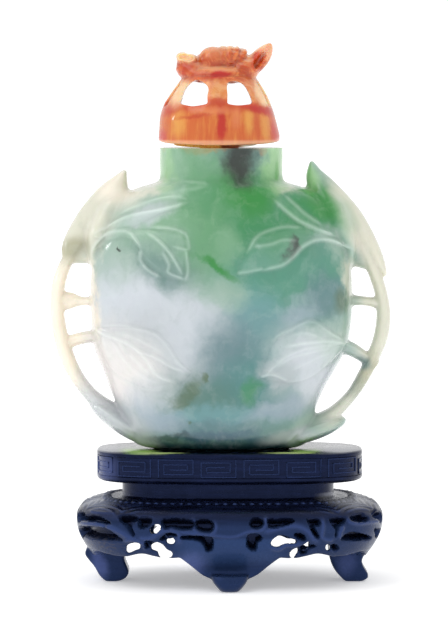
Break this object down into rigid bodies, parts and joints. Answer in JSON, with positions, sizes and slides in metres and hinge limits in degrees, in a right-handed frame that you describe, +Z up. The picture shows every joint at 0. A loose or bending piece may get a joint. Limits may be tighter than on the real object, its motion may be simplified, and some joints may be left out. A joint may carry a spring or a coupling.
{
  "type": "snuff bottle",
  "caption": "Carved green and white jade snuff bottle with openwork vine handles, a pierced orange domed stopper and a dark carved wood stand.",
  "frame": {"origin": "on the table under the middle of the object's bounding box", "axes": "+Z up, the carved front faces -Y, +X to the right seen from the front"},
  "size_m": [0.061, 0.0356, 0.0964],
  "materials": {
    "jadeite": "polished, translucent, clouded white, apple green and blue green",
    "carnelian": "polished, translucent orange red with amber streaks",
    "cork": "plain cork",
    "hardwood": "blue black, polished and waxed"
  },
  "bodies": {
    "root": {"bottle": "jadeite", "stopper": "carnelian", "cork_collar": "cork", "stand": "hardwood"}
  },
  "joints": []
}
